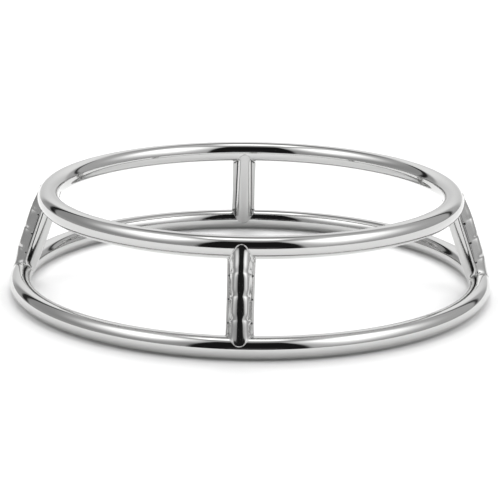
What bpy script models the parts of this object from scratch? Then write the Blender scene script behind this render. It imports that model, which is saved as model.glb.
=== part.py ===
"""Wok ring: two stainless steel tube rings joined by four pressed tube uprights.

The narrow upper ring carries a round-bottomed pan, and the wide lower ring rests on the hob or table.
Each upright is a short tube pressed flat along both edges: an outward bulge with three waists across it,
a plain rib inward, and a flange of doubled sheet at each side. Its ends are coped and cut to a round
arch, so that bulge and rib reach past the ring tubes on both sides like a saddle, and are welded there.

Units are metres and +Z is up. The origin is on the table, at the centre of the lower ring. Bearings are
measured round +Z from +X, and -Y is the side that faces the viewer.
"""

from math import atan2, copysign, cos, exp, hypot, pi, radians, sin

import bmesh
import bpy
from mathutils import Matrix, Vector

MM = 0.001

# Driving sizes of the rings
TUBE_DIAMETER = 12.7 * MM
LOWER_RING_DIAMETER = 290.0 * MM  # over the outside of its tube
UPPER_RING_DIAMETER = 255.0 * MM  # over the outside of its tube
STAND_HEIGHT = 63.5 * MM

# Driving sizes of the pressed uprights
UPRIGHT_BEARINGS = {"front": -92.1, "right": -2.1, "back": 92.2, "left": 177.9}  # degrees
SHEET = 0.9 * MM  # wall of the tube before it is pressed
FLANGE_WIDTH = 14.6 * MM  # over both flanges, halfway up
FLANGE_FLARE = 0.9 * MM  # how much wider the flanges are at both ends
FLANGE_OUTWARD = 0.6 * MM  # flanges and bulge stand this far outside the ring tubes' centres
BULGE_WIDTH = 11.2 * MM
END_FULLNESS = 3.0  # the bulge is this much squarer where the tube stayed round; 2 is an ellipse
END_LENGTH = 4.5 * MM
RIB_WIDTH_TOP = 8.6 * MM
RIB_WIDTH_FOOT = 10.4 * MM
ROOT_FILLET = 0.7 * MM  # where bulge and rib turn into the flange
WAIST_COUNT = 3
WAIST_SPACING = 12.65 * MM
WAIST_RISE = 0.6 * MM  # the middle waist above the upright's middle
WAIST_DEPTH = 0.35 * MM
WAIST_PINCH = 0.5 * MM  # how far the bulge's sides come in at a waist
WAIST_LENGTH = 1.3 * MM
SADDLE_PAST_UPPER = 1.2 * MM  # past the tube's centre, along the upright
SADDLE_PAST_LOWER = 0.3 * MM
ARCH_SHAPE_UPPER = 1.5  # outline of the end seen from outside: 1 is a plain bell, more is squarer
ARCH_SHAPE_LOWER = 1.3

WELD_GAP = 0.3 * MM

# Facets
RING_SEGMENTS = 96
TUBE_SIDES = 16  # a multiple of 4, so that the tube has a flat below, above, inside and outside
CUTTER_SIDES = 32
BULGE_STEPS = 12
RIB_STEPS = 8
FILLET_STEPS = 2
EDGE_STEPS = 4
ARCH_STEPS = 13  # odd, so that no corner of the arch falls on the crest line
STATION_STEP = 4.8 * MM
SMOOTH_ANGLE = 40.0

# Worked out from the driving sizes
TUBE_RADIUS = TUBE_DIAMETER / 2
LOWER_RADIUS = LOWER_RING_DIAMETER / 2 - TUBE_RADIUS  # to the tube's centre
UPPER_RADIUS = UPPER_RING_DIAMETER / 2 - TUBE_RADIUS
LOWER_HEIGHT = TUBE_RADIUS
UPPER_HEIGHT = STAND_HEIGHT - TUBE_RADIUS
LEAN = atan2(LOWER_RADIUS - UPPER_RADIUS, UPPER_HEIGHT - LOWER_HEIGHT)
LENGTH = hypot(LOWER_RADIUS - UPPER_RADIUS, UPPER_HEIGHT - LOWER_HEIGHT)  # from tube centre to tube centre
RIB_CREST = TUBE_RADIUS + SHEET  # the rib passes one sheet outside the ring tubes
BULGE_CREST = RIB_CREST + FLANGE_OUTWARD
FLANGE_HALF = SHEET  # the flange is two sheets thick
ARCH_HALF_WIDTH = (FLANGE_WIDTH + FLANGE_FLARE) / 2  # the arches end at the flanges' corners
OUTLINE_HALF_WIDTH = ARCH_HALF_WIDTH + SHEET
BLANK_SPARE = SHEET  # the blank runs this far past the arches, which trim it
WAISTS = [
    LENGTH / 2 + WAIST_RISE + (k - (WAIST_COUNT - 1) / 2) * WAIST_SPACING for k in range(WAIST_COUNT)
]

STEEL = (0.76, 0.76, 0.75, 1.0)


def clear_scene():
    """Start from an empty scene."""
    for obj in list(bpy.data.objects):
        bpy.data.objects.remove(obj, do_unlink=True)


def steel(name):
    """Bright polished stainless steel."""
    material = bpy.data.materials.new(name)
    material.use_nodes = True
    shader = material.node_tree.nodes["Principled BSDF"]
    shader.inputs["Base Color"].default_value = STEEL
    shader.inputs["Metallic"].default_value = 1.0
    shader.inputs["Roughness"].default_value = 0.1
    return material


def add_object(name, mesh):
    """Link an object that shows the mesh into the scene."""
    obj = bpy.data.objects.new(name, mesh)
    bpy.context.scene.collection.objects.link(obj)
    return obj


def mesh_from(name, bm):
    """Turn a bmesh into a smooth-shaded mesh with its faces pointing out."""
    bmesh.ops.recalc_face_normals(bm, faces=bm.faces[:])
    mesh = bpy.data.meshes.new(name)
    bm.to_mesh(mesh)
    bm.free()
    mesh.shade_smooth()
    mesh.set_sharp_from_angle(angle=radians(SMOOTH_ANGLE))
    return mesh


def ring_mesh(name, centre_radius, height, tube_radius, sides):
    """Spin a round section with flats at its foot and its top once round +Z."""
    bm = bmesh.new()
    half_side = pi / sides
    stand_up = Matrix.Rotation(pi / 2, 4, "X") @ Matrix.Rotation(half_side, 4, "Z")
    section = bmesh.ops.create_circle(
        bm, segments=sides, radius=tube_radius / cos(half_side), matrix=stand_up
    )["verts"]
    bmesh.ops.translate(bm, verts=section, vec=Vector((centre_radius, 0.0, height)))
    bmesh.ops.spin(
        bm,
        geom=bm.verts[:] + bm.edges[:],
        cent=Vector((0.0, 0.0, 0.0)),
        axis=Vector((0.0, 0.0, 1.0)),
        angle=2 * pi,
        steps=RING_SEGMENTS,
    )
    bmesh.ops.remove_doubles(bm, verts=bm.verts[:], dist=1e-6)
    return mesh_from(name, bm)


def make_ring(name, centre_radius, height):
    """One closed ring of round tube."""
    ring = add_object(name, ring_mesh(name, centre_radius, height, TUBE_RADIUS, TUBE_SIDES))
    ring.data.materials.append(steel(name + "_steel"))
    return ring


def make_ring_cutter(name, centre_radius, height):
    """A ring fatter than the tube by the weld gap, which copes the uprights' ends."""
    radius = TUBE_RADIUS + WELD_GAP
    cutter = add_object(name, ring_mesh(name, centre_radius, height, radius, CUTTER_SIDES))
    cutter.hide_render = True
    cutter.display_type = "WIRE"
    return cutter


def arc(centre, radii, start, end, steps):
    """Points on an ellipse's arc, with angles in degrees from the first axis to the second."""
    angles = [radians(start + (end - start) * k / steps) for k in range(steps + 1)]
    return [(centre[0] + radii[0] * cos(a), centre[1] + radii[1] * sin(a)) for a in angles]


def waist(z):
    """1 at a waist and 0 away from it, as a smooth bell."""
    return sum(exp(-(((z - at) / WAIST_LENGTH) ** 2)) for at in WAISTS)


def near_ends(z):
    """1 where the upright meets either ring tube and 0 away from both, as a smooth bell."""
    from_foot = max(z - TUBE_RADIUS, 0.0)
    from_top = max(LENGTH - TUBE_RADIUS - z, 0.0)
    return exp(-((from_foot / END_LENGTH) ** 2)) + exp(-((from_top / END_LENGTH) ** 2))


def full_arc(centre, radii, fullness, steps):
    """Points on half a squared ellipse, from its lower end over its crest to its upper end."""
    angles = [radians(180 * k / steps - 90) for k in range(steps + 1)]
    power = 2 / fullness
    across = [copysign(abs(sin(a)) ** power, a) for a in angles]
    return [(centre + radii[0] * max(cos(a), 0.0) ** power, radii[1] * y) for a, y in zip(angles, across)]


def outer_section(z):
    """The pressed tube's outline at height z along the upright, as (outward, sideways) points."""
    from_middle = 2 * z / LENGTH - 1
    flange = (FLANGE_WIDTH + FLANGE_FLARE * from_middle**2) / 2
    bulge = BULGE_WIDTH / 2 - WAIST_PINCH * waist(z)
    fullness = 2 + (END_FULLNESS - 2) * near_ends(z)
    crest = BULGE_CREST - WAIST_DEPTH * waist(z)
    rib = (RIB_WIDTH_FOOT + (RIB_WIDTH_TOP - RIB_WIDTH_FOOT) * z / LENGTH) / 2
    outer_root = FLANGE_OUTWARD + FLANGE_HALF + ROOT_FILLET
    inner_root = FLANGE_OUTWARD - FLANGE_HALF - ROOT_FILLET
    fillet = (ROOT_FILLET, ROOT_FILLET)
    edge = (FLANGE_HALF, FLANGE_HALF)
    points = arc((outer_root, -bulge - ROOT_FILLET), fillet, 180, 90, FILLET_STEPS)[:-1]
    points += full_arc(outer_root, (crest - outer_root, bulge), fullness, BULGE_STEPS)
    points += arc((outer_root, bulge + ROOT_FILLET), fillet, 270, 180, FILLET_STEPS)[1:]
    points += arc((FLANGE_OUTWARD, flange - FLANGE_HALF), edge, 0, 180, EDGE_STEPS)
    points += arc((inner_root, rib + ROOT_FILLET), fillet, 0, -90, FILLET_STEPS)[:-1]
    points += arc((inner_root, 0.0), (RIB_CREST + inner_root, rib), 90, 270, RIB_STEPS)
    points += arc((inner_root, -rib - ROOT_FILLET), fillet, 90, 0, FILLET_STEPS)[1:]
    points += arc((FLANGE_OUTWARD, FLANGE_HALF - flange), edge, 180, 360, EDGE_STEPS)
    return points


def arch_height(y, tongue, shape):
    """Height of an upright's end past the ring tube's centre: a bell, highest at the crest."""
    share = min(abs(y) / ARCH_HALF_WIDTH, 1.0)
    bell = (1 + cos(pi * share**shape)) / 2
    return (tongue + TUBE_RADIUS) * bell - TUBE_RADIUS


def end_profile():
    """The upright's outline seen from outside, as (sideways, along) points: two arches back to back."""
    across = [ARCH_HALF_WIDTH * (2 * k / ARCH_STEPS - 1) for k in range(ARCH_STEPS + 1)]
    across = [-OUTLINE_HALF_WIDTH] + across + [OUTLINE_HALF_WIDTH]
    top = [(y, LENGTH + arch_height(y, SADDLE_PAST_UPPER, ARCH_SHAPE_UPPER)) for y in across]
    foot = [(y, -arch_height(y, SADDLE_PAST_LOWER, ARCH_SHAPE_LOWER)) for y in across]
    return top + foot[::-1]


def outline_mesh(name):
    """The end profile as a thick plate, which keeps the part of an upright that lies inside it."""
    bm = bmesh.new()
    front = [bm.verts.new((-TUBE_DIAMETER, y, z)) for y, z in end_profile()]
    face = bm.faces.new(front)
    swept = bmesh.ops.extrude_face_region(bm, geom=[face])["geom"]
    moved = [item for item in swept if isinstance(item, bmesh.types.BMVert)]
    bmesh.ops.translate(bm, verts=moved, vec=Vector((2 * TUBE_DIAMETER, 0.0, 0.0)))
    return mesh_from(name, bm)


def bore_section(z):
    """The hollow inside the pressed tube: one sheet inside the bulge, and one inside the rib."""
    bulge = BULGE_WIDTH / 2 - WAIST_PINCH - SHEET
    rib = RIB_WIDTH_TOP / 2 - SHEET
    bulge_depth = BULGE_CREST - WAIST_DEPTH - SHEET - FLANGE_OUTWARD
    rib_depth = RIB_CREST - SHEET + FLANGE_OUTWARD
    points = arc((FLANGE_OUTWARD, 0.0), (bulge_depth, bulge), -90, 90, BULGE_STEPS)
    points += arc((FLANGE_OUTWARD, 0.0), (rib_depth, rib), 90, 270, RIB_STEPS)
    return points


def loft_mesh(name, section, stations):
    """Skin a section from station to station along +Z and close both ends."""
    bm = bmesh.new()
    loops = [[bm.verts.new((x, y, z)) for x, y in section(z)] for z in stations]
    for below, above in zip(loops, loops[1:]):
        for k in range(len(below)):
            bm.faces.new((below[k - 1], below[k], above[k], above[k - 1]))
    bm.faces.new(loops[0])
    bm.faces.new(loops[-1])
    return mesh_from(name, bm)


def stations():
    """Heights of the sections: even steps, with extra ones at and beside each waist."""
    start, end = -SADDLE_PAST_LOWER - BLANK_SPARE, LENGTH + SADDLE_PAST_UPPER + BLANK_SPARE
    close = [at + side * WAIST_LENGTH for at in WAISTS for side in (-1.6, -0.6, 0.0, 0.6, 1.6)]
    count = round((end - start) / STATION_STEP)
    even = [start + (end - start) * k / count for k in range(count + 1)]
    spare = [z for z in even[1:-1] if all(abs(z - c) > STATION_STEP / 3 for c in close)]
    return sorted([start, end] + close + spare)


def lean_on(obj, bearing):
    """Stand an upright's piece on the lower ring at the bearing, leaning in to the upper ring."""
    turn = radians(bearing)
    obj.location = (LOWER_RADIUS * cos(turn), LOWER_RADIUS * sin(turn), LOWER_HEIGHT)
    obj.rotation_euler = (0.0, -LEAN, turn)


def cut(obj, cutter, operation="DIFFERENCE"):
    """Subtract the cutter from the object, or keep what lies inside it."""
    modifier = obj.modifiers.new("cut_" + cutter.name, "BOOLEAN")
    modifier.operation = operation
    modifier.solver = "EXACT"
    modifier.object = cutter


def make_uprights(ring_cutters):
    """Four like uprights, each bored through and coped onto both rings."""
    blank = loft_mesh("upright", outer_section, stations())
    bore = loft_mesh("bore", bore_section, (-TUBE_DIAMETER, LENGTH + TUBE_DIAMETER))
    outline = outline_mesh("outline")
    for place, bearing in UPRIGHT_BEARINGS.items():
        name = "upright_" + place
        upright = add_object(name, blank.copy())
        upright.data.materials.append(steel(name + "_steel"))
        bore_cutter = add_object(name + "_bore", bore)
        outline_keeper = add_object(name + "_outline", outline)
        lean_on(upright, bearing)
        for tool in (bore_cutter, outline_keeper):
            tool.hide_render = True
            tool.display_type = "WIRE"
            lean_on(tool, bearing)
        cut(upright, outline_keeper, "INTERSECT")
        for cutter in (bore_cutter, *ring_cutters):
            cut(upright, cutter)


def main():
    clear_scene()
    make_ring("lower_ring", LOWER_RADIUS, LOWER_HEIGHT)
    make_ring("upper_ring", UPPER_RADIUS, UPPER_HEIGHT)
    ring_cutters = (
        make_ring_cutter("lower_ring_cutter", LOWER_RADIUS, LOWER_HEIGHT),
        make_ring_cutter("upper_ring_cutter", UPPER_RADIUS, UPPER_HEIGHT),
    )
    make_uprights(ring_cutters)


main()
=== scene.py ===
# %% [markdown]
# # A wok ring of bent steel tube
# A wok ring is a stand that keeps a round-bottomed vessel steady. This one is two rings of 12.7 mm stainless
# tube, a narrow one above a wide one, joined by four short pressed tubes that are welded to both. Everything
# is polished, so almost all that the eye sees is the studio mirrored in round metal. The lesson starts from
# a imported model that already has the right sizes. It fixes where every piece stands, and the finer surfaces
# made here are laid over it.

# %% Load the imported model
from math import atan2, degrees, hypot, pi, radians

import bpy
import numpy as np
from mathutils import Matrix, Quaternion, Vector


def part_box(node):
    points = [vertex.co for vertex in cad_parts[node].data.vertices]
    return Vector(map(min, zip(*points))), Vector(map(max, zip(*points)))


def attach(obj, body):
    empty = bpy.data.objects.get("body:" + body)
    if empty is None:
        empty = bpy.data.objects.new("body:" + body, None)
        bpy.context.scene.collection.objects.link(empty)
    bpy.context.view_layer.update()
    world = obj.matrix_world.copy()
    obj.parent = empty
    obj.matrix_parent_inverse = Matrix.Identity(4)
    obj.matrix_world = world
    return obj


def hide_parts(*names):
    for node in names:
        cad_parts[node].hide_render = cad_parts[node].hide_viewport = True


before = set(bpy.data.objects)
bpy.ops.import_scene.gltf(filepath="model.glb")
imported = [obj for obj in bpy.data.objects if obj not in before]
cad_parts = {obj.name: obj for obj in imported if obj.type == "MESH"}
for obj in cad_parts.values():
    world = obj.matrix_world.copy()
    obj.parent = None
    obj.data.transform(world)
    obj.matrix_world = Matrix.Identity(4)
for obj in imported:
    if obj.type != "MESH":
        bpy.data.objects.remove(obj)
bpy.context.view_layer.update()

MM = 0.001
lower_low, lower_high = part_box("lower_ring")
upper_low, upper_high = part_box("upper_ring")
TUBE_RADIUS = (lower_high[2] - lower_low[2]) / 2
LOWER_RADIUS = (lower_high[0] - lower_low[0]) / 2 - TUBE_RADIUS
UPPER_RADIUS = (upper_high[0] - upper_low[0]) / 2 - TUBE_RADIUS
LOWER_HEIGHT = (lower_high[2] + lower_low[2]) / 2
UPPER_HEIGHT = (upper_high[2] + upper_low[2]) / 2
print("tube radius", round(TUBE_RADIUS / MM, 2), "mm")
print("lower ring: radius", round(LOWER_RADIUS / MM, 2), "mm, height", round(LOWER_HEIGHT / MM, 2), "mm")
print("upper ring: radius", round(UPPER_RADIUS / MM, 2), "mm, height", round(UPPER_HEIGHT / MM, 2), "mm")

# %% [markdown]
# ## The camera
# The photograph was taken from just over a metre away, a little above the stand, with a long lens, which is
# why the rings look like flat ellipses with hardly any perspective. A camera can be aimed with a Track To
# constraint, but writing its turn from three angles keeps it fixed and easy to correct: how far it looks to
# the side, how far down, and how far it is tipped about its own line of sight.

# %% Place the camera
CAMERA_PLACE = Vector((0.000644, -1.03704, 0.30820))
LOOK_ASIDE = 0.045
LOOK_DOWN = 15.412
TIPPED = 0.715
LENS = 127.72
SENSOR_WIDTH = 36.0
aim = Quaternion((0, 0, 1), radians(LOOK_ASIDE)) @ Quaternion((1, 0, 0), radians(90 - LOOK_DOWN))
camera_data = bpy.data.cameras.new("camera")
camera_data.sensor_width = SENSOR_WIDTH
camera_data.lens = LENS
camera = bpy.data.objects.new("camera", camera_data)
camera.rotation_mode = "QUATERNION"
camera.rotation_quaternion = aim @ Quaternion((0, 0, 1), radians(TIPPED))
camera.location = CAMERA_PLACE
bpy.context.scene.collection.objects.link(camera)
bpy.context.scene.camera = camera
bpy.context.scene.view_settings.view_transform = "Standard"
print("camera", round(CAMERA_PLACE.length, 3), "m from the middle of the stand's base")

# %% [markdown]
# ## Wiring nodes from Python
# Worlds and materials are trees of nodes. In the editor a number is typed into a socket or a wire is dragged
# to it. The two helpers here do either, so that a mask or a slope reads like plain arithmetic, and the
# studio, the steel and the floor can all use them.

# %% Helpers for nodes


def connect(value, socket):
    """Give an input socket a number or another node's output."""
    if isinstance(value, bpy.types.NodeSocket):
        socket.id_data.links.new(value, socket)
    else:
        socket.default_value = value


def calc(tree, operation, *values):
    """One Math node of a tree: the operation applied to numbers or outputs."""
    node = tree.nodes.new("ShaderNodeMath")
    node.operation = operation
    for value, socket in zip(values, node.inputs):
        connect(value, socket)
    return node.outputs[0]


# %% [markdown]
# ## The studio
# Polished steel has no look of its own: it shows the room. Product photographers build that room with care.
# A black card in front draws the dark line along each tube, and a big soft box on either side gives the
# broad white bands. A narrow lamp overhead, with a dark strip behind it, adds the thin bright line above the
# dark one, and grey walls fill the rest. Lamps and cards could be real meshes round the object. Here they
# are painted into the world by direction instead, because a world has no noise and never gets in the way.
# Every direction is turned into a bearing from the viewer's side and a height above the horizon, both in
# degrees, and each panel is a soft-edged mask over what is behind it. Two numbers in brackets say where a
# mask starts and where it is full. Three say where a band begins, where it ends and how soft its edges are.
# Other sets are explained beside them. Only the strip overhead is placed in another way: by how far over the
# top it lies from the viewer's side, in degrees, and by how much of the direction points right.
# The last step raises the whole studio a little and hides it from the camera, which sees plain white. The
# metal doesn't mirror that white: it would wipe out the dark line, so it goes on mirroring the studio.

# %% Helpers for painting the world
world = bpy.data.worlds.new("studio")
world.use_nodes = True
bpy.context.scene.world = world
sky = world.node_tree


def ease(value, start, end):
    """0 before start, 1 after end and an S-curve between: t*t*(3 - 2t)."""
    node = sky.nodes.new("ShaderNodeMapRange")
    node.interpolation_type = "SMOOTHSTEP"
    for number, socket in zip((value, start, end), node.inputs):
        connect(number, socket)
    return node.outputs[0]


def between(value, first, last, blur):
    """1 from first to last and 0 outside, each edge as wide as twice the blur."""
    rise = ease(value, first - blur, first + blur)
    fall = ease(value, last - blur, last + blur)
    return calc(sky, "SUBTRACT", rise, fall)


def both(first, second):
    """The mask of what lies in both masks: their product."""
    return calc(sky, "MULTIPLY", first, second)


def paint(behind, level, mask):
    """The level laid over what is behind it, as strongly as the mask says."""
    node = sky.nodes.new("ShaderNodeMix")
    factor, _, first, second = list(node.inputs)[:4]
    connect(mask, factor)
    connect(behind, first)
    connect(level, second)
    return node.outputs[0]


# %% Bearing and height of each direction
TO_DEGREES = 180 / pi
direction = sky.nodes.new("ShaderNodeTexCoord")
split = sky.nodes.new("ShaderNodeSeparateXYZ")
sky.links.new(direction.outputs["Generated"], split.inputs[0])
towards_right, away, upward = split.outputs
towards_viewer = calc(sky, "MULTIPLY", away, -1.0)
bearing = calc(sky, "MULTIPLY", calc(sky, "ARCTAN2", towards_right, towards_viewer), TO_DEGREES)
height = calc(sky, "MULTIPLY", calc(sky, "ARCSINE", upward), TO_DEGREES)
overhead = calc(sky, "MULTIPLY", calc(sky, "ARCTAN2", upward, towards_viewer), TO_DEGREES)
aside = calc(sky, "ABSOLUTE", bearing)
leftward = calc(sky, "MULTIPLY", bearing, -1.0)
print("directions take", len(sky.nodes), "nodes so far")

# %% Walls
HORIZON = 0.45
LEFT_WALL = 0.36
RIGHT_WALL = 0.52
UPPER_WALL = 0.58
SIDES_MEET = (-10, 10)
WALL_RISES = (0, 15)
UPPER_WALL_RISES = (30, 55)
right_side = ease(bearing, *SIDES_MEET)
light = paint(HORIZON, paint(LEFT_WALL, RIGHT_WALL, right_side), ease(height, *WALL_RISES))
light = paint(light, UPPER_WALL, ease(height, *UPPER_WALL_RISES))
print("side walls", LEFT_WALL, "and", RIGHT_WALL, "of white")

# %% Back wall and the shade above it
BACK_WALL_LOW = 0.72
BACK_WALL_HIGH = 1.05
BACK_WALL_BRIGHTENS = (5, 30)
BACK_WALL_SIDE = (144, 154)
BACK_WALL_TOP = (50, 34)
LEFT_SHADE = 0.26
RIGHT_SHADE = 0.45
SHADE_SIDE = (146, 172, 8)
SHADE_HEIGHT = (44, 60, 6)
back_wall = paint(BACK_WALL_LOW, BACK_WALL_HIGH, ease(height, *BACK_WALL_BRIGHTENS))
light = paint(light, back_wall, both(ease(aside, *BACK_WALL_SIDE), ease(height, *BACK_WALL_TOP)))
shade = paint(LEFT_SHADE, RIGHT_SHADE, right_side)
light = paint(light, shade, both(between(aside, *SHADE_SIDE), between(height, *SHADE_HEIGHT)))
print("back wall from", BACK_WALL_LOW, "to", BACK_WALL_HIGH, "of white")

# %% Soft boxes
SOFT_BOX = 2.4
SIDE_BLUR = 20
EDGE_BLUR = 28
EDGE_TILT = 0.24
BOX_MIDDLE = 80
# Inner bearing, outer bearing, and height of the lower edge at the middle of a box
RIGHT_BOX = (43, 110, 38)
LEFT_BOX = (46, 113, 44)


def soft_box(light, turned, inner, outer, lower_edge):
    """A bright panel from inner to outer bearing, above a lower edge that rises slowly towards the back."""
    sideways = between(turned, inner, outer, SIDE_BLUR)
    edge = calc(sky, "MULTIPLY_ADD", turned, EDGE_TILT, lower_edge - EDGE_TILT * BOX_MIDDLE)
    above = ease(calc(sky, "SUBTRACT", height, edge), -EDGE_BLUR, EDGE_BLUR)
    return paint(light, SOFT_BOX, both(sideways, above))


light = soft_box(light, bearing, *RIGHT_BOX)
light = soft_box(light, leftward, *LEFT_BOX)
print("soft boxes", SOFT_BOX, "times white")

# %% Ceiling
CEILING_FRONT = 0.36
CEILING_BACK = 0.84
CEILING_BRIGHTENS = (80, 170)
CEILING_RISES = (57, 79)
ZENITH = 0.68
ZENITH_RISES = (76, 84)
ceiling = paint(CEILING_FRONT, CEILING_BACK, ease(aside, *CEILING_BRIGHTENS))
light = paint(light, ceiling, ease(height, *CEILING_RISES))
light = paint(light, ZENITH, ease(height, *ZENITH_RISES))
print("ceiling from", CEILING_FRONT, "in front to", CEILING_BACK, "behind")

# %% Black card in front, with a faint gleam on it
BLACK_CARD = 0.012
CARD_SIDE = (29.5, 25.5)
CARD_FOOT = (-1, 1)
CARD_TOP = (74, 64)
CARD_GLEAM = 0.06
GLEAM_SIDE = (-9, 15, 4)
GLEAM_TOP = (22, 8)
over_foot = ease(height, *CARD_FOOT)
light = paint(light, BLACK_CARD, both(ease(aside, *CARD_SIDE), both(over_foot, ease(height, *CARD_TOP))))
gleam = both(between(bearing, *GLEAM_SIDE), ease(height, *GLEAM_TOP))
light = paint(light, CARD_GLEAM, both(gleam, over_foot))
print("the card covers", 2 * CARD_SIDE[1], "degrees in front")

# %% Strip lamp overhead and the dark strip behind it
STRIP_LAMP = 2.2
STRIP_SHADE = 0.25
STRIP_SIDE = (-0.20, 0.13, 0.05)
LAMP_OVERHEAD = (90, 107, 3)
SHADE_OVERHEAD = (113, 131, 4)
strip = between(towards_right, *STRIP_SIDE)
light = paint(light, STRIP_SHADE, both(strip, between(overhead, *SHADE_OVERHEAD)))
light = paint(light, STRIP_LAMP, both(strip, between(overhead, *LAMP_OVERHEAD)))
print("strip lamp", STRIP_LAMP, "times white, just behind the zenith")

# %% Black edges of the side panels
EDGE_LOW = 5
EDGE_HIGH = 38
EDGE_HEIGHT = (4, 40, 3)
STRIP_BLUR = 2
# Bearing low down, bearing high up, half of the width, and level
LEFT_EDGE = (127, 149, 4.0, 0.02)
RIGHT_EDGE = (131, 147, 2.6, 0.05)


def slanted_edge(light, turned, foot, top, half_width, level):
    """A dark strip that leans: its bearing grows evenly from foot, low down, to top, high up."""
    slope = (top - foot) / (EDGE_HIGH - EDGE_LOW)
    middle = calc(sky, "MULTIPLY_ADD", height, slope, foot - EDGE_LOW * slope)
    off_middle = calc(sky, "ABSOLUTE", calc(sky, "SUBTRACT", turned, middle))
    across = ease(off_middle, half_width + STRIP_BLUR, half_width - STRIP_BLUR)
    return paint(light, level, both(across, between(height, *EDGE_HEIGHT)))


light = slanted_edge(light, leftward, *LEFT_EDGE)
light = slanted_edge(light, bearing, *RIGHT_EDGE)
print("dark edges", 2 * LEFT_EDGE[2], "and", 2 * RIGHT_EDGE[2], "degrees wide")

# %% Show it to everything but the camera
STUDIO_LEVEL = 1.1
WHITE = 1.0
looking = sky.nodes.new("ShaderNodeLightPath")
straight = calc(sky, "MAXIMUM", looking.outputs["Is Camera Ray"], looking.outputs["Is Transmission Ray"])
background = sky.nodes["Background"]
background.inputs["Color"].default_value = (1.0, 1.0, 1.0, 1.0)
light = calc(sky, "MULTIPLY", light, STUDIO_LEVEL)
connect(paint(light, WHITE, straight), background.inputs["Strength"])
print("the studio is painted with", len(sky.nodes), "nodes")

# %% [markdown]
# ## Surfaces from numpy grids
# Every new piece is a sheet of points worked out in one go: rows run along the piece and columns run round
# it. Blender could spin or loft these shapes too, but a formula over a whole grid can bend, swell and notch
# a surface anywhere, and it gives clean rows of four-sided faces that smooth shading likes.

# %% Faces and UV of a grid


def wrapped_faces(rows, columns, close_rows):
    """Corner numbers of each four-sided face: every column joins the next and the last joins the first."""
    row = np.arange(rows if close_rows else rows - 1)[:, None]
    column = np.arange(columns)[None, :]
    next_row = (row + 1) % rows
    next_column = (column + 1) % columns
    corners = (row * columns + column, row * columns + next_column,
               next_row * columns + next_column, next_row * columns + column)
    return np.stack(np.broadcast_arrays(*corners), axis=-1).reshape(-1, 4)


def corner_uv(rows, columns, close_rows, along, around):
    """A UV pair for each face corner, in metres along and around, with no fold-back at the seams."""
    row = np.arange(rows if close_rows else rows - 1)[:, None]
    column = np.arange(columns)[None, :]
    u = np.stack(np.broadcast_arrays(row, row, row + 1, row + 1), axis=-1) * along / rows
    v = np.stack(np.broadcast_arrays(column, column + 1, column + 1, column), axis=-1) * around / columns
    u, v = np.broadcast_arrays(u, v)
    return np.stack([u, v], axis=-1).reshape(-1, 2)


print("a closed grid of 4 by 3 points has", len(wrapped_faces(4, 3, True)), "faces")

# %% Turn a grid of points into a mesh


def mesh_piece(name, points, faces, uv_of_corner, fans=()):
    """Build a smooth mesh piece from points, four-sided faces and three-sided fans that close its ends."""
    mesh = bpy.data.meshes.new(name)
    fans = np.concatenate(fans) if len(fans) else np.zeros((0, 3), int)
    corner_points = np.concatenate([faces.ravel(), fans.ravel()])
    sizes = np.concatenate([np.full(len(faces), 4), np.full(len(fans), 3)])
    mesh.vertices.add(len(points))
    mesh.vertices.foreach_set("co", points.ravel())
    mesh.loops.add(len(corner_points))
    mesh.loops.foreach_set("vertex_index", corner_points)
    mesh.polygons.add(len(sizes))
    mesh.polygons.foreach_set("loop_start", np.cumsum(sizes) - sizes)
    layer = mesh.uv_layers.new(name="UVMap")
    uv = np.concatenate([uv_of_corner.reshape(-1, 2), np.zeros((fans.size, 2))])
    layer.data.foreach_set("uv", uv.ravel())
    mesh.update(calc_edges=True)
    mesh.validate()
    mesh.shade_smooth()
    piece = bpy.data.objects.new(name, mesh)
    bpy.context.scene.collection.objects.link(piece)
    return piece


# %% [markdown]
# ## Polished steel
# The tubes are polished stainless steel. A Principled shader with full Metallic and a low Roughness gives
# it, but perfect metal looks like glass. Real tube keeps the fine marks of the polishing belt, which run
# along it, and its bending leaves long soft waves. Each goes into a shallow Bump of its own, and the belt
# marks also vary the roughness a little. They are read from the UV map, so that they follow the tube round
# its bend, and the waves from the Object coordinates.
# The uprights take two tricks that are not shapes. With the mesh alone their outer side mirrors the room too
# low down, and the reason isn't known. So a Bump turns its shading upwards, by 8 degrees at the foot and 5
# at the top, although the mesh has no such tilt. The pits under the waists and the creases beside the rib
# are dark, and that darkness is painted shade: they get a near-black, rough metal of their own.

# %% Helpers for the steel
BELT_SCALE = (60.0, 2500.0, 1.0)
BELT_DETAIL = 3.0
BELT_LEAST = 0.8
BELT_MOST = 1.2
WAVE_SCALE = 45.0
WAVE_DETAIL = 1.0


def noise(tree, place, scale, detail):
    """The grey value of a Noise texture at a place."""
    node = tree.nodes.new("ShaderNodeTexNoise")
    node.inputs["Scale"].default_value = scale
    node.inputs["Detail"].default_value = detail
    tree.links.new(place, node.inputs["Vector"])
    return node.outputs["Fac"]


def bump(tree, relief, depth, below=None):
    """The normal after a relief of a depth in metres, laid over the normal of the relief below it."""
    node = tree.nodes.new("ShaderNodeBump")
    node.inputs["Strength"].default_value = 1.0
    node.inputs["Distance"].default_value = depth
    tree.links.new(relief, node.inputs["Height"])
    if below is not None:
        tree.links.new(below, node.inputs["Normal"])
    return node.outputs[0]


def tilted(tree, uv, foot, change):
    """Shading turned upwards by foot, and by change more each metre up: -u*(foot + change*u/2)."""
    split = tree.nodes.new("ShaderNodeSeparateXYZ")
    tree.links.new(uv, split.inputs[0])
    slope = calc(tree, "MULTIPLY_ADD", split.outputs["X"], -change / 2, -foot)
    return bump(tree, calc(tree, "MULTIPLY", split.outputs["X"], slope), 1.0)


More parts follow.
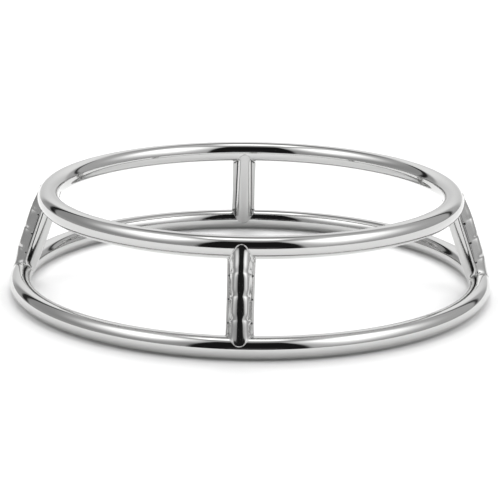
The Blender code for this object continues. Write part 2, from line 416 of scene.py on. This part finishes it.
# %% Steel materials
STEEL_COLOUR = (0.585, 0.585, 0.58, 1.0)
# Painted shade: a near-black colour for the pits under the waists and the creases beside the rib.
PIT_SHADE_COLOUR = (0.03, 0.03, 0.03, 1.0)
TUBE_WAVE = 0.05 * MM
PRESSED_WAVE = 0.03 * MM
BELT_MARKS = 0.0004 * MM
WELD_MARKS = 0.0008 * MM
SHADING_TILT = (0.14, -1.0)


def steel(name, roughness, wave, marks, tilt=None, colour=STEEL_COLOUR):
    """Metal with soft waves and fine belt marks of the depths given, its shading tilted or not."""
    material = bpy.data.materials.new(name)
    material.use_nodes = True
    tree = material.node_tree
    shader = tree.nodes["Principled BSDF"]
    shader.inputs["Base Color"].default_value = colour
    shader.inputs["Metallic"].default_value = 1.0
    uv = tree.nodes.new("ShaderNodeUVMap")
    uv.uv_map = "UVMap"
    place = tree.nodes.new("ShaderNodeTexCoord")
    belt = tree.nodes.new("ShaderNodeMapping")
    belt.inputs["Scale"].default_value = BELT_SCALE
    tree.links.new(uv.outputs[0], belt.inputs["Vector"])
    scratches = noise(tree, belt.outputs[0], 1.0, BELT_DETAIL)
    waves = noise(tree, place.outputs["Object"], WAVE_SCALE, WAVE_DETAIL)
    spread = tree.nodes.new("ShaderNodeMapRange")
    spread.inputs["To Min"].default_value = roughness * BELT_LEAST
    spread.inputs["To Max"].default_value = roughness * BELT_MOST
    tree.links.new(scratches, spread.inputs["Value"])
    tree.links.new(spread.outputs[0], shader.inputs["Roughness"])
    wall_normal = tilted(tree, uv.outputs[0], *tilt) if tilt else None
    wave_normal = bump(tree, waves, wave, wall_normal)
    tree.links.new(bump(tree, scratches, marks, wave_normal), shader.inputs["Normal"])
    return material


tube_steel = steel("polished_tube", 0.06, TUBE_WAVE, BELT_MARKS)
pressed_steel = steel("pressed_tube", 0.07, PRESSED_WAVE, BELT_MARKS)
bulge_steel = steel("pressed_bulge", 0.12, PRESSED_WAVE, BELT_MARKS, tilt=SHADING_TILT)
# Painted shade: rough, near-black metal that darkens the pits and creases where shade falls.
pit_shade_steel = steel("painted_pit_shade", 0.45, PRESSED_WAVE, BELT_MARKS, colour=PIT_SHADE_COLOUR)
weld_steel = steel("polished_weld", 0.10, PRESSED_WAVE, WELD_MARKS)
print("materials:", ", ".join(material.name for material in bpy.data.materials))

# %% [markdown]
# ## The two rings
# Each ring is one length of tube, rolled round and welded end to end, with the weld polished away. A torus
# primitive would do for the shape, but it has no UV map in real lengths. The grid below has one row for
# each step round the ring and one column for each step round the tube.

# %% Make the rings
RING_STEPS = 640
TUBE_SIDES = 72


def ring(name, radius, height):
    """A torus: a circle of the tube's radius carried round a circle of the ring's radius."""
    turn = np.linspace(0, 2 * pi, RING_STEPS, endpoint=False)[:, None]
    roll = np.linspace(0, 2 * pi, TUBE_SIDES, endpoint=False)[None, :]
    out = radius + TUBE_RADIUS * np.cos(roll)
    up = height + TUBE_RADIUS * np.sin(roll) + 0 * turn
    points = np.stack([out * np.cos(turn), out * np.sin(turn), up], axis=-1).reshape(-1, 3)
    faces = wrapped_faces(RING_STEPS, TUBE_SIDES, True)[:, ::-1]
    uv = corner_uv(RING_STEPS, TUBE_SIDES, True, 2 * pi * radius, 2 * pi * TUBE_RADIUS)
    return mesh_piece(name, points, faces, uv.reshape(-1, 4, 2)[:, ::-1])


rings = {
    "lower_ring": ring("lower_ring_tube", LOWER_RADIUS, LOWER_HEIGHT),
    "upper_ring": ring("upper_ring_tube", UPPER_RADIUS, UPPER_HEIGHT),
}
for node, piece in rings.items():
    piece.data.materials.append(tube_steel)
    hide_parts(node)
    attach(piece, "root")
    print(piece.name, len(piece.data.polygons), "faces")

# %% [markdown]
# ## The pressed uprights
# Each upright began as a short round tube. A press closed it along both edges, which leaves a flange of two
# sheets on each side, a plain rib towards the inside and a bulge towards the outside. It could be lofted
# from a few sections, but what crosses it later does so at a slant. So its outline is a formula of the place
# round the section and of the height along the upright. The bulge is worked out as the press makes it: a
# broad dome whose slope grows slowly, and a shoulder where it quickly turns down to the flange.

# %% Sizes of an upright
LEAN = atan2(LOWER_RADIUS - UPPER_RADIUS, UPPER_HEIGHT - LOWER_HEIGHT)
LENGTH = hypot(LOWER_RADIUS - UPPER_RADIUS, UPPER_HEIGHT - LOWER_HEIGHT)
SHEET = 0.9 * MM
FILLET = 0.5 * MM
FLANGE_OUTWARD = 0.6 * MM
FLANGE_WIDTH = 14.9 * MM
FLANGE_FLARE = 0.6 * MM
FLANGE_SLOPE = 0.5 * MM
RIB_CREST = TUBE_RADIUS + SHEET
RIB_WIDTH_TOP = 8.6 * MM
RIB_WIDTH_FOOT = 10.4 * MM
RIB_FULLNESS = 2.7
BULGE_CREST = RIB_CREST + FLANGE_OUTWARD
BULGE_ROOT = FLANGE_OUTWARD + SHEET + FILLET
print("an upright leans", round(degrees(LEAN), 1), "degrees and is", round(LENGTH / MM, 2), "mm long")

# %% Half the bulge, from crest to root
DOME_RADIUS = 10.2 * MM
SHOULDER_START = 2.8 * MM
SHOULDER_END = 6.2 * MM
SIDE_DRAFT = 21.0
CURVE_REACH = 12 * MM
CURVE_STEPS = 2000


def smooth(value, start, end):
    """0 at start, 1 at end and an S-curve between: t*t*(3 - 2t)."""
    t = np.clip((value - start) / (end - start), 0, 1)
    return t * t * (3 - 2 * t)


def bulge_curve():
    """The slope angle along the curve is s / radius on the dome and eases to the side's at the shoulder."""
    s = np.linspace(0, CURVE_REACH, CURVE_STEPS)
    dome = s / DOME_RADIUS
    side = radians(90 - SIDE_DRAFT)
    angle = dome + (side - dome) * smooth(s, SHOULDER_START, SHOULDER_END)
    step = s[1] - s[0]
    sideways = np.cumsum(np.cos(angle)) * step - step
    down = np.cumsum(np.sin(angle)) * step
    kept = down <= BULGE_CREST - BULGE_ROOT
    return s[kept] / s[kept][-1], sideways[kept], down[kept]


CURVE_SHARE, CURVE_SIDEWAYS, CURVE_DOWN = bulge_curve()
BULGE_WIDTH = 2 * CURVE_SIDEWAYS[-1]
print("the bulge is", round(BULGE_WIDTH / MM, 2), "mm wide")

# %% Runs of the outline
RUNS = {"left_fillet": 8, "bulge": 88, "right_fillet": 8, "right_slope": 8, "right_edge": 16,
        "right_back_flat": 10, "right_root": 8, "rib": 48, "left_root": 8, "left_back_flat": 10,
        "left_edge": 16, "left_slope": 8}
KIND = np.concatenate([np.full(count, number) for number, count in enumerate(RUNS.values())])[None, :]
SHARE = np.concatenate([np.arange(count) / count for count in RUNS.values()])[None, :]


def on(*names):
    """Where the outline is on one of the named runs."""
    return np.isin(KIND, [list(RUNS).index(name) for name in names])


def run(name, value):
    """The value on one run of the outline and 0 on all others."""
    return np.where(on(name), value, 0.0)


print("the outline has", KIND.size, "points in", len(RUNS), "runs")

# %% Outline of the pressed tube
DOME_CHANGE = 1.3
DOME_SPAN = 3.0 * MM


def bulge_outline(from_middle):
    """The bulge curve on both sides of its crest, its dome flatter at the top and rounder at the foot."""
    from_crest = np.abs(2 * SHARE - 1)
    y = np.sign(2 * SHARE - 1) * np.interp(from_crest, CURVE_SHARE, CURVE_SIDEWAYS)
    rounder = 1 - DOME_CHANGE * np.clip(from_middle, -1, 1) / 2 * np.exp(-((y / DOME_SPAN) ** 2))
    return BULGE_CREST - rounder * np.interp(from_crest, CURVE_SHARE, CURVE_DOWN), y


def pressed_outline(z):
    """Outline (outward, sideways) at the heights z: arcs at fillets, roots and edges, a superellipse rib."""
    from_middle = 2 * z / LENGTH - 1
    flange = (FLANGE_WIDTH + FLANGE_FLARE * np.clip(from_middle, -1, 1) ** 2) / 2
    rib = (RIB_WIDTH_FOOT + (RIB_WIDTH_TOP - RIB_WIDTH_FOOT) * z / LENGTH) / 2
    bulge = BULGE_WIDTH / 2 + 0 * z
    bulge_x, bulge_y = bulge_outline(from_middle)
    front = FLANGE_OUTWARD + SHEET
    back = FLANGE_OUTWARD - SHEET
    in_root = back - FILLET
    edge = SHEET - FLANGE_SLOPE / 2
    edge_middle = FLANGE_OUTWARD - FLANGE_SLOPE / 2
    tip = flange - edge
    quarter = SHARE * pi / 2
    half = SHARE * pi
    power = 2 / RIB_FULLNESS
    x = (run("left_fillet", BULGE_ROOT - FILLET * np.cos(quarter))
         + run("bulge", bulge_x)
         + run("right_fillet", BULGE_ROOT - FILLET * np.sin(quarter))
         + run("right_slope", front - FLANGE_SLOPE * SHARE)
         + run("right_edge", edge_middle + edge * np.cos(half))
         + run("right_back_flat", back)
         + run("right_root", in_root + FILLET * np.cos(quarter))
         + run("rib", in_root - (RIB_CREST + in_root) * np.sin(half) ** power)
         + run("left_root", in_root + FILLET * np.sin(quarter))
         + run("left_back_flat", back)
         + run("left_edge", edge_middle - edge * np.cos(half))
         + run("left_slope", front - FLANGE_SLOPE * (1 - SHARE)))
    y = (run("left_fillet", -bulge - FILLET + FILLET * np.sin(quarter))
         + run("bulge", bulge_y)
         + run("right_fillet", bulge + FILLET - FILLET * np.cos(quarter))
         + run("right_slope", bulge + FILLET + (tip - bulge - FILLET) * SHARE)
         + run("right_edge", tip + edge * np.sin(half))
         + run("right_back_flat", tip + (rib + FILLET - tip) * SHARE)
         + run("right_root", rib + FILLET - FILLET * np.sin(quarter))
         + run("rib", rib * np.sign(np.cos(half)) * np.abs(np.cos(half)) ** power)
         + run("left_root", -rib - FILLET + FILLET * np.cos(quarter))
         + run("left_back_flat", -rib - FILLET + (-tip + rib + FILLET) * SHARE)
         + run("left_edge", -tip - edge * np.sin(half))
         + run("left_slope", -tip + (-bulge - FILLET + tip) * SHARE))
    return x + 0 * z, y + 0 * z


middle_x, middle_y = pressed_outline(np.array([[LENGTH / 2]]))
print("the flange is", round(np.ptp(middle_y) / MM, 2), "mm wide at half height")

# %% [markdown]
# ## The waists
# Three waists are nipped across the bulge, probably to stiffen the thin wall. Each is a soft crease, steep
# just below its line and gentle above, so that the swelling under it catches a bright spot. It is deepest on
# the flanks and hardly marks the crest, and it ends at each side in a shallow round pit. Booleans would cut
# hard grooves. Pushing the outline in along its own normal keeps the surface in one smooth piece.

# %% Waists across the bulge
WAISTS = np.array([14.5, 27.2, 39.8]) * MM
NIP_CREST = 0.10 * MM
NIP_FLANK = 0.38 * MM
NIP_ROOT = 0.04 * MM
NIP_DROP = 0.5 * MM
NIP_BELOW = 1.4 * MM
NIP_ABOVE = 2.2 * MM
FLANK_PART = (0.15, 0.65)
ROOT_PART = (2.8 * MM, 6.4 * MM)
PIT_DEPTH = 0.14 * MM
PIT_DROP = 1.5 * MM
PIT_SIZE = 0.75 * MM


def pit_share(x, z):
    """How much of each pit's depth a point has: a round bell at the bulge's root, under each waist."""
    from_root = (x[..., None] - BULGE_ROOT) / PIT_SIZE
    from_pit = (z[..., None] - WAISTS + PIT_DROP) / PIT_SIZE
    return np.exp(-(from_root**2) - from_pit**2)


def waist_depth(x, y, z):
    """Depth of the waists: it fades as exp(-d) below each line and as exp(-d*d) above, and the pits add."""
    sideness = np.clip(np.abs(y) / (BULGE_WIDTH / 2), 0, 1)[..., None]
    above = z[..., None] + NIP_DROP * sideness**2 - WAISTS
    steep = np.exp(np.minimum(above, 0) / NIP_BELOW)
    gentle = np.exp(-((above / NIP_ABOVE) ** 2))
    falling = np.where(above < 0, steep, gentle)
    nip = NIP_CREST + (NIP_FLANK - NIP_CREST) * smooth(sideness, *FLANK_PART)
    nip = NIP_ROOT + (nip - NIP_ROOT) * smooth(x, *ROOT_PART)[..., None]
    return (nip * falling + PIT_DEPTH * pit_share(x, z)).sum(axis=-1)


def outward(x, y):
    """Unit direction out of a closed anticlockwise outline: its tangent turned by a right angle."""
    along_x = np.roll(x, -1, axis=1) - np.roll(x, 1, axis=1)
    along_y = np.roll(y, -1, axis=1) - np.roll(y, 1, axis=1)
    size = np.hypot(along_x, along_y)
    return along_y / size, -along_x / size


def nipped_outline(z):
    """The pressed outline with its bulge pushed in at the waists, fading out over the fillets."""
    x, y = pressed_outline(z)
    out_x, out_y = outward(x, y)
    on_bulge = run("left_fillet", SHARE) + run("bulge", 1.0) + run("right_fillet", 1 - SHARE)
    depth = waist_depth(x, y, z) * on_bulge
    return x - out_x * depth, y - out_y * depth


print("waists at", [round(waist / MM, 1) for waist in WAISTS], "mm up the upright")
print("they are", round(NIP_FLANK / MM, 2), "mm deep on the flanks")

# %% [markdown]
# ## The round ends
# The press stopped short of the ends. They stayed round and were cut to a saddle, so that each hugs its ring
# tube with a thin tongue on either side. A Boolean cut would leave a ragged rim of tiny faces. Instead the
# last rows of the grid end on the saddle's line itself, and the outline eases from its pressed form to one
# that lies on the ring tube. Past that line the piece runs on into the tube and is closed out of sight.

# %% Saddle line and round outline
ARCH_HALF_WIDTH = 7.75 * MM
ARCH_SHAPE = 1.15
TONGUE_TOP = 1.0 * MM
TONGUE_FOOT = -0.5 * MM
LIFT_TOP = 0.28 * MM
LIFT_FOOT = 0.42 * MM
LIFT_RIB = 0.08 * MM


def arch(y, tongue):
    """Height of the weld line over the ring tube's centre: a bell, from the tongue to below the tube."""
    lowest = -np.sqrt(TUBE_RADIUS**2 - SHEET**2)
    share = np.clip(np.abs(y) / ARCH_HALF_WIDTH, 0, 1)
    return lowest + (tongue - lowest) * (1 + np.cos(pi * share**ARCH_SHAPE)) / 2


def round_end(x, y, tongue, lift):
    """The outline where the tube stayed round: on the ring tube, and a little off it at the crest."""
    share = np.clip(np.abs(y) / ARCH_HALF_WIDTH, 0, 1)
    from_axis = TUBE_RADIUS + np.where(x > 0, lift, LIFT_RIB) * (1 - share) ** 2
    reach = np.sqrt(from_axis**2 - np.minimum(arch(y, tongue), 0) ** 2)
    return reach * np.clip((x - FLANGE_OUTWARD) / SHEET, -1, 1)


def end_line(at, tongue, lift):
    """The line (outward, sideways, past the centre) in which an upright meets a ring tube."""
    flat_x, y = pressed_outline(np.array([[at]]))
    past = arch(y, tongue)
    round_edge = -np.sqrt(np.clip(TUBE_RADIUS**2 - flat_x**2, 0, None))
    past = np.where(np.abs(flat_x - FLANGE_OUTWARD) < SHEET, np.minimum(past, round_edge), past)
    return round_end(flat_x, y, tongue, lift), y, past


TOP_END = (TONGUE_TOP, LIFT_TOP)
FOOT_END = (TONGUE_FOOT, LIFT_FOOT)
TOP_X, TOP_Y, TOP_PAST = end_line(LENGTH, *TOP_END)
FOOT_X, FOOT_Y, FOOT_PAST = end_line(0.0, *FOOT_END)
print("the top tongue ends", round(TOP_PAST.max() / MM, 2), "mm past the upper tube's centre")

# %% The wall of an upright
ROWS = 220
CREST_TAPER = 0.68 * MM
TAPER_LENGTH = 16.0 * MM
FADE_OUTSIDE = 1.7 * MM
FADE_INSIDE = 2.0 * MM
END_DEPTH = 1.0 * MM


def upright_wall():
    """A grid up the wall: the nipped outline, which turns into the round ends near both saddles."""
    share = np.linspace(0, 1, ROWS)[:, None]
    foot = -FOOT_PAST
    top = LENGTH + TOP_PAST
    z = foot + (top - foot) * share
    x, y = nipped_outline(z)
    fade = np.where(x > 0, FADE_OUTSIDE, FADE_INSIDE)
    near_top = np.exp(-(((top - z) / fade) ** 2))
    near_foot = np.exp(-(((z - foot) / fade) ** 2))
    taper = smooth(z, top - TAPER_LENGTH, top) + smooth(z, foot + TAPER_LENGTH, foot)
    too_far = np.where(x > 0, CREST_TAPER + FLANGE_OUTWARD, CREST_TAPER)
    x = x - too_far * np.clip(x / RIB_CREST, -1, 1) * taper
    x = x + (round_end(x, y, *TOP_END) - x) * near_top
    x = x + (round_end(x, y, *FOOT_END) - x) * near_foot
    return np.stack([x, y, z], axis=-1)


def tube_point(x, y, past, centre, way, distance):
    """The point at a distance from a ring tube's axis, in the direction of a point on the end line."""
    turn = np.arctan2(past, x)
    return np.stack([distance * np.cos(turn), y, centre + way * distance * np.sin(turn)], axis=-1)


def closed_upright():
    """The wall with both ends run on into the ring tubes, where they are closed out of sight."""
    inside = TUBE_RADIUS - END_DEPTH
    foot_row = tube_point(FOOT_X, FOOT_Y, FOOT_PAST, 0.0, -1.0, inside)
    top_row = tube_point(TOP_X, TOP_Y, TOP_PAST, LENGTH, 1.0, inside)
    return np.concatenate([foot_row, upright_wall(), top_row])


wall = closed_upright()
rows, columns = wall.shape[:2]
print("the wall has", rows, "rows of", columns, "points")

# %% [markdown]
# ## Standing the uprights up
# One wall serves all four uprights. It could be made once and turned with object rotations, but a finished
# piece keeps its place in its mesh. So the same points are leaned, bent round with the rings and turned to
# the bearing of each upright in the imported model, which are not quite a quarter turn apart.

# %% Lean an upright on the rings


def stand_up(points, bearing):
    """Place points (outward, sideways, along) on the lower ring, leaning in, bent round with the rings."""
    out = LOWER_RADIUS + points[..., 0] * np.cos(LEAN) - points[..., 2] * np.sin(LEAN)
    up = LOWER_HEIGHT + points[..., 0] * np.sin(LEAN) + points[..., 2] * np.cos(LEAN)
    turn = bearing + points[..., 1] / out
    return np.stack([out * np.cos(turn), out * np.sin(turn), up], axis=-1)


def bearing_of(node):
    """The bearing of a CAD upright, from the middle of its points."""
    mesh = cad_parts[node].data
    points = np.zeros(len(mesh.vertices) * 3)
    mesh.vertices.foreach_get("co", points)
    middle = points.reshape(-1, 3).mean(axis=0)
    return atan2(middle[1], middle[0])


bearings = {place: bearing_of("upright_" + place) for place in ("front", "right", "back", "left")}
print("bearings in degrees:", {place: round(degrees(turn), 2) for place, turn in bearings.items()})

# %% Faces, finishes and painted shade of an upright
GIRTH = 46 * MM
PIT_EDGE = 0.5
STEEL, BULGE, PIT_SHADE = 0, 1, 2
wall_faces = wrapped_faces(rows, columns, False)
wall_uv = corner_uv(rows, columns, False, LENGTH, GIRTH)
end_centres = np.array([[0.0, 0.0, 0.0], [0.0, 0.0, LENGTH]])
column = np.arange(columns)
next_column = np.roll(column, -1)
foot_fan = np.stack([next_column, column, np.full(columns, rows * columns)], axis=-1)
top_fan = np.stack([column, next_column, np.full(columns, rows * columns + 1)], axis=-1)
top_fan[:, :2] += (rows - 1) * columns

face_z = (wall[1:, :, 2] + wall[:-1, :, 2]) / 2
in_pit = pit_share(middle_x + 0 * face_z, face_z).max(axis=-1) > PIT_EDGE
# Painted shade: deep pit faces and the creases beside the rib take the near-black pit metal.
painted_shade_faces = in_pit & on("left_fillet", "bulge", "right_fillet") | on("right_root", "left_root")
finish_or_shade = np.where(painted_shade_faces, PIT_SHADE, np.where(middle_x > FLANGE_OUTWARD, BULGE, STEEL))
finish_or_shade = np.concatenate([finish_or_shade.ravel(), np.full(2 * columns, STEEL)])
print((finish_or_shade == BULGE).sum(), "faces on the bulge and", (finish_or_shade == PIT_SHADE).sum(), "in pits and creases")

# %% Make the four uprights
for place, turn in bearings.items():
    points = np.concatenate([wall.reshape(-1, 3), end_centres])
    piece = mesh_piece("upright_tube_" + place, stand_up(points, turn), wall_faces, wall_uv,
                       (foot_fan, top_fan))
    for material in (pressed_steel, bulge_steel, pit_shade_steel):
        piece.data.materials.append(material)
    piece.data.polygons.foreach_set("material_index", finish_or_shade)
    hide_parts("upright_" + place)
    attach(piece, "root")
    print(piece.name, len(piece.data.polygons), "faces")

# %% [markdown]
# ## The welds
# Each end of an upright is welded all round, and the weld is polished to a thin round bead. It reads as a
# bright rim where the upright hugs the ring tube. A bevel could round the wall's cut edge, but the bead also
# runs on where there is no edge. So it is a fine tube swept along the line in which upright and ring meet,
# with its middle just under the ring tube's skin, so that only its back stands out.

# %% Path and section of a weld bead
BEAD_RADIUS = 0.34 * MM
BEAD_RISE = -0.06 * MM
BEAD_RISE_RIB = -0.14 * MM
BEAD_SIDES = 14


def unit(vectors):
    """Vectors divided by their lengths."""
    return vectors / np.linalg.norm(vectors, axis=1, keepdims=True)


def bead(end_x, end_y, past, centre, way):
    """A circle carried along the end line, square to it, with its centre just below the tube's skin."""
    rise = np.where(end_x > 0, BEAD_RISE, BEAD_RISE_RIB)
    line = tube_point(end_x, end_y, past, centre, way, TUBE_RADIUS + rise)[0]
    axis = np.stack([0 * line[:, 0], line[:, 1], centre + 0 * line[:, 2]], axis=-1)
    along = unit(np.roll(line, -1, axis=0) - np.roll(line, 1, axis=0))
    across = unit(np.cross(along, unit(line - axis)))
    off_tube = np.cross(across, along)
    roll = np.linspace(0, 2 * pi, BEAD_SIDES, endpoint=False)[None, :, None]
    return line[:, None] + BEAD_RADIUS * (off_tube[:, None] * np.cos(roll) + across[:, None] * np.sin(roll))


ends = {
    "top": bead(TOP_X, TOP_Y, TOP_PAST, LENGTH, 1.0),
    "foot": bead(FOOT_X, FOOT_Y, FOOT_PAST, 0.0, -1.0),
}
print("a bead has", columns, "steps and", BEAD_SIDES, "sides")

# %% Make the weld beads
bead_faces = wrapped_faces(columns, BEAD_SIDES, True)
bead_uv = corner_uv(columns, BEAD_SIDES, True, GIRTH, 2 * pi * BEAD_RADIUS)
for place, turn in bearings.items():
    for end, points in ends.items():
        piece = mesh_piece("weld_" + end + "_" + place, stand_up(points, turn).reshape(-1, 3),
                           bead_faces, bead_uv)
        piece.data.materials.append(weld_steel)
        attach(piece, "root")
        print(piece.name, len(piece.data.polygons), "faces")

# %% [markdown]
# ## The floor
# The stand is on a seamless white table. A pale diffuse floor takes the soft contact shadows. The studio
# alone lights it to a light grey, so a wide soft lamp from high behind the stand adds the rest, and throws
# the shadow towards the viewer as in the photograph. A bright lamp would show as a spot in every tube, so
# the mirrors don't see it. The last step to white is a faint glow, which Light Path gives only to the camera
# and to what metal or glass shows of the floor, so that no more light falls on the stand.

# %% Make the floor
FLOOR_REACH = 12.0
FLOOR_SIDES = 128
turn = np.linspace(0, 2 * pi, FLOOR_SIDES, endpoint=False)
rim = np.stack([FLOOR_REACH * np.cos(turn), FLOOR_REACH * np.sin(turn), 0 * turn], axis=-1)
floor_mesh = bpy.data.meshes.new("floor")
floor_mesh.from_pydata(rim.tolist(), [], [list(range(FLOOR_SIDES))])
floor = bpy.data.objects.new("floor", floor_mesh)
bpy.context.scene.collection.objects.link(floor)
print("the floor reaches", FLOOR_REACH, "m")

# %% White table
FLOOR_COLOUR = (0.86, 0.86, 0.86, 1.0)
FLOOR_GLOW = 0.05
table = bpy.data.materials.new("white_table")
table.use_nodes = True
table.cycles.emission_sampling = "NONE"
shader = table.node_tree.nodes["Principled BSDF"]
shader.inputs["Base Color"].default_value = FLOOR_COLOUR
shader.inputs["Roughness"].default_value = 1.0
shader.inputs["Specular IOR Level"].default_value = 0.0
shader.inputs["Emission Color"].default_value = (1.0, 1.0, 1.0, 1.0)
seen = table.node_tree.nodes.new("ShaderNodeLightPath").outputs
mirrored = calc(table.node_tree, "MAXIMUM", seen["Is Glossy Ray"], seen["Is Transmission Ray"])
shown = calc(table.node_tree, "MAXIMUM", seen["Is Camera Ray"], mirrored)
connect(calc(table.node_tree, "MULTIPLY", shown, FLOOR_GLOW), shader.inputs["Emission Strength"])
floor.data.materials.append(table)
print("the table is", FLOOR_COLOUR[0], "of white")

# %% Lamp for the floor
LAMP_STRENGTH = 1.85
LAMP_SPREAD = 50.0
LAMP_HEIGHT = 52.0
lamp_data = bpy.data.lights.new("high_lamp", "SUN")
lamp_data.energy = LAMP_STRENGTH
lamp_data.angle = radians(LAMP_SPREAD)
lamp = bpy.data.objects.new("high_lamp", lamp_data)
lamp.rotation_euler = (radians(-(90 - LAMP_HEIGHT)), 0.0, 0.0)
lamp.visible_glossy = False
bpy.context.scene.collection.objects.link(lamp)
print("the lamp stands", LAMP_HEIGHT, "degrees up")
